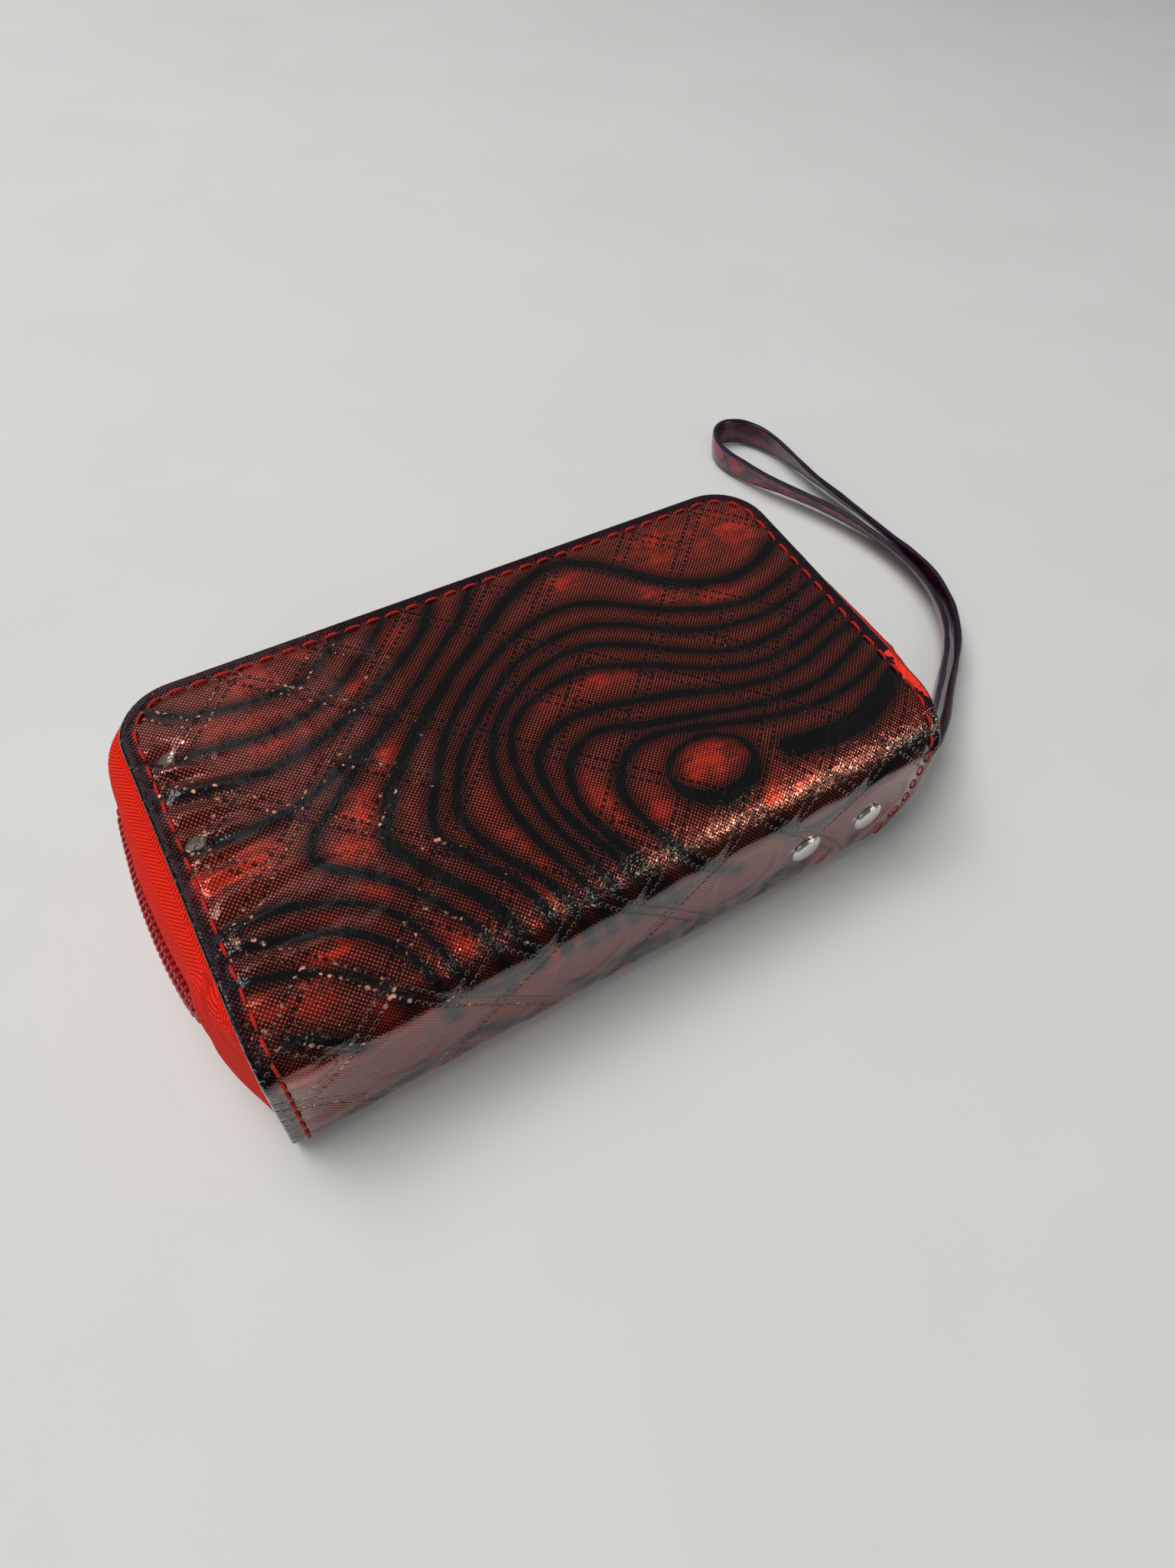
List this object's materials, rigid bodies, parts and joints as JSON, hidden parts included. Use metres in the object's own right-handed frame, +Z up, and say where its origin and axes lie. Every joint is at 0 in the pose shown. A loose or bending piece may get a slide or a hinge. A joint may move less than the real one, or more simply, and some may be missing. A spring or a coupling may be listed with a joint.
{
  "type": "zip around wallet",
  "caption": "Small zip around wallet in glossy quilted faux leather, with a rounded spine, card slots, a zipped coin pouch inside and a riveted wrist strap.",
  "frame": {"origin": "middle of the wallet's box at its resting face, without the wrist strap", "axes": "+X along the spine towards the end with the rivets and strap, +Y from the spine towards the zip's far side, +Z up"},
  "size_m": [0.1839, 0.1285, 0.032],
  "materials": {
    "patent_skin": "glossy patent",
    "strap_skin": "glossy patent",
    "seam_thread": "matte",
    "zip_tape": "woven",
    "zip_coil": "satin",
    "nickel": "polished",
    "board": "matte",
    "lining": "matte",
    "card_sheet": "satin"
  },
  "bodies": {
    "bottom_cover": {"bottom_cover_skin": "patent_skin", "bottom_board": "board", "bottom_lining": "lining", "bottom_seam_thread": "seam_thread", "lower_zip_tape": "zip_tape", "lower_zip_coil": "zip_coil", "lower_tape_margin": "zip_tape", "lower_top_stop": "nickel", "bottom_stop": "nickel", "lower_card_slot_1": "card_sheet", "lower_card_slot_2": "card_sheet", "lower_card_slot_3": "card_sheet", "lower_slot_welts": "card_sheet"},
    "spine": {"spine_skin": "patent_skin", "spine_board": "board", "spine_lining": "lining", "spine_seam_threads": "seam_thread", "rivet_caps": "nickel", "rivet_posts": "nickel", "rivet_washers": "nickel", "strap_tail": "strap_skin", "page_strip_spine_side": "lining"},
    "wrist_strap": {"wrist_strap": "strap_skin"},
    "top_cover": {"top_cover_skin": "patent_skin", "top_board": "board", "top_lining": "lining", "top_seam_thread": "seam_thread", "upper_zip_tape": "zip_tape", "upper_zip_coil": "zip_coil", "upper_tape_margin": "zip_tape", "upper_tape_tails": "zip_tape", "upper_coil_tails": "zip_coil", "upper_top_stop": "nickel", "upper_card_slot_1": "card_sheet", "upper_card_slot_2": "card_sheet", "upper_card_slot_3": "card_sheet", "upper_slot_welts": "card_sheet"},
    "coin_pouch": {"pouch_lower_wall": "lining", "pouch_upper_wall": "lining", "pouch_side_walls": "lining", "pouch_fold": "lining", "page_strip_pouch_side": "lining", "pouch_upper_coil": "zip_coil", "pouch_lower_coil": "zip_coil", "pouch_upper_tape": "zip_tape", "pouch_lower_tape": "zip_tape"},
    "zip_slider": {"zip_slider_body": "nickel"},
    "zip_pull": {"zip_pull_tab": "nickel"},
    "pouch_slider": {"pouch_slider_body": "nickel"},
    "pouch_pull": {"pouch_pull_tab": "nickel"}
  },
  "joints": [
    {"name": "spine_lean", "type": "hinge", "parent": "bottom_cover", "child": "spine", "pos_m": [-0.00245, -0.03235, 0.00107], "axis": [1, 0, 0], "range_deg": [0, 30]},
    {"name": "cover_open", "type": "hinge", "parent": "spine", "child": "top_cover", "pos_m": [-0.00245, -0.03139, 0.02996], "axis": [1, 0, 0], "range_deg": [0, 110], "deforming": ["upper_tape_tails", "upper_coil_tails", "upper_top_stop"]},
    {"name": "page_turn", "type": "hinge", "parent": "spine", "child": "coin_pouch", "pos_m": [-0.00245, -0.02892, 0.016], "axis": [1, 0, 0], "range_deg": [0, 55]},
    {"name": "strap_swing", "type": "hinge", "parent": "spine", "child": "wrist_strap", "pos_m": [0.05655, -0.02852, 0.012], "axis": [1, 0, 0], "range_deg": [-30, 0]},
    {"name": "zip_slide", "type": "slide", "parent": "bottom_cover", "child": "zip_slider", "axis": [0, 1, 0], "range_m": [0, 0.028]},
    {"name": "pull_swing", "type": "hinge", "parent": "zip_slider", "child": "zip_pull", "pos_m": [0.0632, -0.01243, 0.016], "axis": [0, 1, 0], "range_deg": [0, 170]},
    {"name": "pouch_zip_slide", "type": "slide", "parent": "coin_pouch", "child": "pouch_slider", "axis": [-1, 0, 0], "range_m": [0, 0.076]},
    {"name": "pouch_pull_swing", "type": "hinge", "parent": "pouch_slider", "child": "pouch_pull", "pos_m": [0.03555, 0.01443, 0.016], "axis": [1, 0, 0], "range_deg": [0, 150]}
  ],
  "couplings": [
    {"joint": "page_turn", "follows": "cover_open", "ratio": 0.5},
    {"joint": "strap_swing", "follows": "spine_lean", "ratio": -1}
  ]
}
